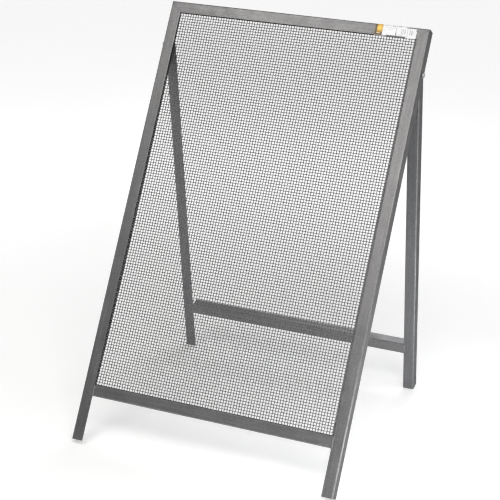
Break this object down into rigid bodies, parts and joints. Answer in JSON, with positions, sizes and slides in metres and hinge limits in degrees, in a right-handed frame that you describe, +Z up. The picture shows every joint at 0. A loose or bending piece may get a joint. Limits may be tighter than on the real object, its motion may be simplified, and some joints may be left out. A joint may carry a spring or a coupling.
{
  "type": "folding sand screen",
  "caption": "Free-standing throw screen: woven wire sieve panel in a leaning angle-iron frame, with a rear leg frame that folds in behind it on two pivot bolts.",
  "frame": {"origin": "on the ground, midway between the two stiles and midway between the front edge of the front feet and the back edge of the rear feet", "axes": "+Z up; the screen faces -Y and leans back towards +Y; +X to the right seen from the screen side"},
  "size_m": [0.6086, 0.609, 0.8833],
  "materials": {
    "frame_paint": "satin grey paint on rolled angle steel",
    "screen_wire": "bare drawn steel wire, woven square",
    "fastener_zinc": "zinc-plated steel",
    "label_paper": "printed paper label, plastic coated"
  },
  "bodies": {
    "front_frame": {"left_stile": "frame_paint", "right_stile": "frame_paint", "top_rail": "frame_paint", "bottom_rail": "frame_paint", "wire_screen": "screen_wire", "label": "label_paper", "left_pivot_bolt": "fastener_zinc", "right_pivot_bolt": "fastener_zinc", "left_pivot_washer": "fastener_zinc", "right_pivot_washer": "fastener_zinc", "left_lock_nut": "fastener_zinc", "right_lock_nut": "fastener_zinc"},
    "rear_frame": {"rear_left_leg": "frame_paint", "rear_right_leg": "frame_paint", "rear_crossbar": "frame_paint"}
  },
  "joints": [
    {"name": "rear_leg_fold", "type": "hinge", "parent": "front_frame", "child": "rear_frame", "pos_m": [0, 0.1484, 0.79242], "axis": [-1, 0, 0], "range_deg": [0, 37.8]}
  ]
}
